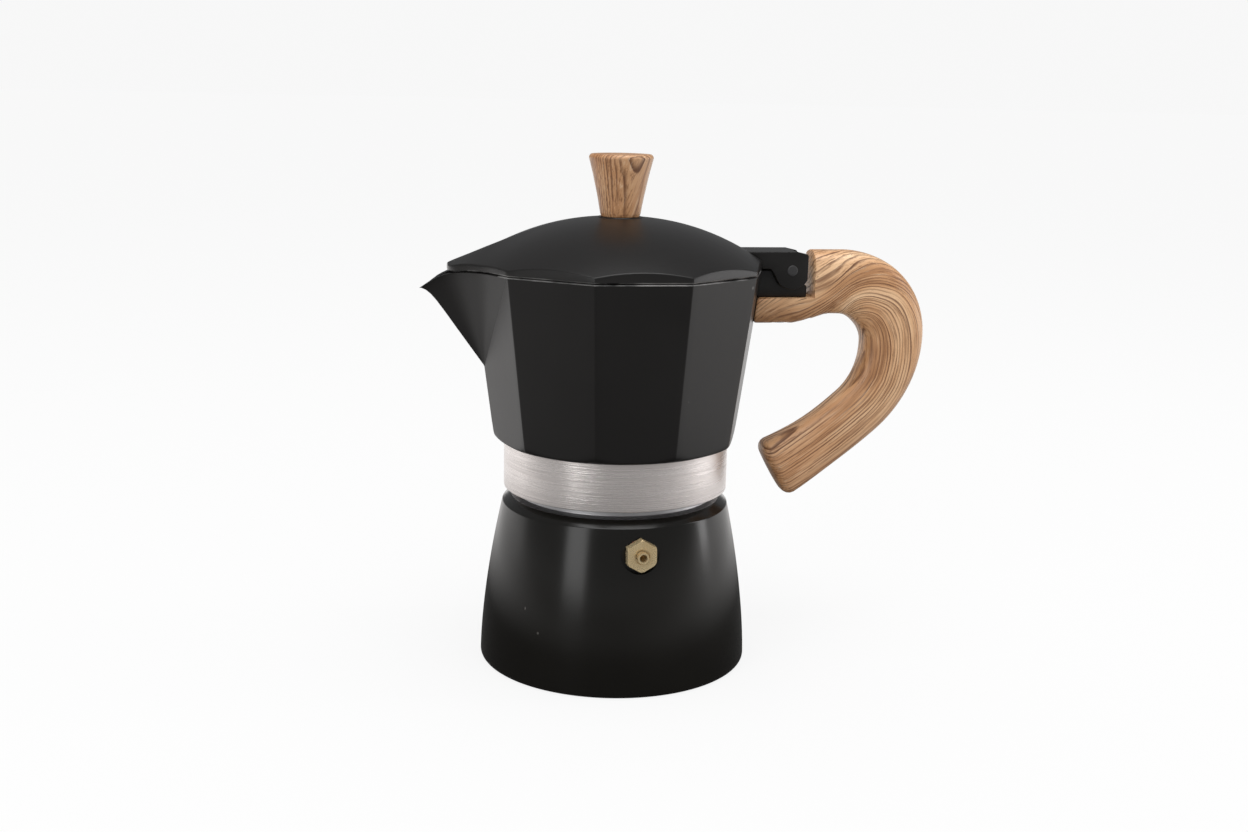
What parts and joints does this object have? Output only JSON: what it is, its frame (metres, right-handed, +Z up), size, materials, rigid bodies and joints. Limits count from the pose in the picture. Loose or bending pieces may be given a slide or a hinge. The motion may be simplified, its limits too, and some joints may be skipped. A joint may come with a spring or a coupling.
{
  "type": "moka pot",
  "caption": "Stovetop coffee pot with a flared boiler, safety valve, faceted collector with spout, hinged domed lid, knob and open hooked handle; screws apart to show its funnel and filter.",
  "frame": {"origin": "centre of the boiler's flat underside, where the pot stands", "axes": "+Z is up along the boiler's axis, -X points out along the spout and +X out along the handle, +Y points to the back, away from the safety valve"},
  "size_m": [0.1883, 0.1026, 0.1872],
  "materials": {
    "black_enamel": "satin black enamel on cast aluminium",
    "brass": "turned",
    "aluminium_sheet": "satin",
    "steel": "plain",
    "fibre": "matte red-brown fibre",
    "rubber_black": "matte",
    "rubber_white": "matte",
    "wood_print": "satin plastic with a wood-grain print"
  },
  "bodies": {
    "boiler": {"boiler": "black_enamel", "valve_body": "brass", "valve_washer": "fibre", "valve_retainer": "brass", "valve_spring": "steel"},
    "plunger": {"valve_plunger": "brass", "valve_seal": "rubber_black"},
    "funnel": {"funnel_basket": "aluminium_sheet", "funnel_tube": "aluminium_sheet", "funnel_plate": "aluminium_sheet"},
    "gasket": {"gasket": "rubber_white"},
    "filter": {"filter_plate": "aluminium_sheet"},
    "collector": {"collector": "black_enamel", "hinge_pin": "black_enamel", "handle": "wood_print", "handle_screw": "steel", "handle_washer": "steel"},
    "lid": {"lid": "black_enamel", "knob": "wood_print", "knob_insert": "brass", "knob_screw": "steel", "knob_washer": "steel"}
  },
  "joints": [
    {"name": "valve_push", "type": "slide", "parent": "boiler", "child": "plunger", "axis": [0.0523, -0.9986, 0], "range_m": [0, 0.0012], "stiffness_N_per_m": 2000, "springref_m": -0.002, "deforming": ["valve_spring"]},
    {"name": "funnel_lift", "type": "slide", "parent": "boiler", "child": "funnel", "axis": [0, 0, 1], "range_m": [0, 0.08]},
    {"name": "collector_lift", "type": "slide", "parent": "funnel", "child": "gasket", "axis": [0, 0, 1], "range_m": [0, 0.06]},
    {"name": "collector_rise", "type": "slide", "parent": "gasket", "child": "filter", "axis": [0, 0, 1], "range_m": [0, 0.0061]},
    {"name": "collector_turn", "type": "hinge", "parent": "filter", "child": "collector", "pos_m": [0, 0, 0.08], "axis": [0, 0, 1], "range_deg": [0, 720]},
    {"name": "lid_hinge", "type": "hinge", "parent": "collector", "child": "lid", "pos_m": [0.0627, 0, 0.1462], "axis": [0, 1, 0], "range_deg": [0, 100]}
  ],
  "couplings": [
    {"joint": "collector_rise", "follows": "collector_turn", "m_per_rad": 0.00047746}
  ]
}
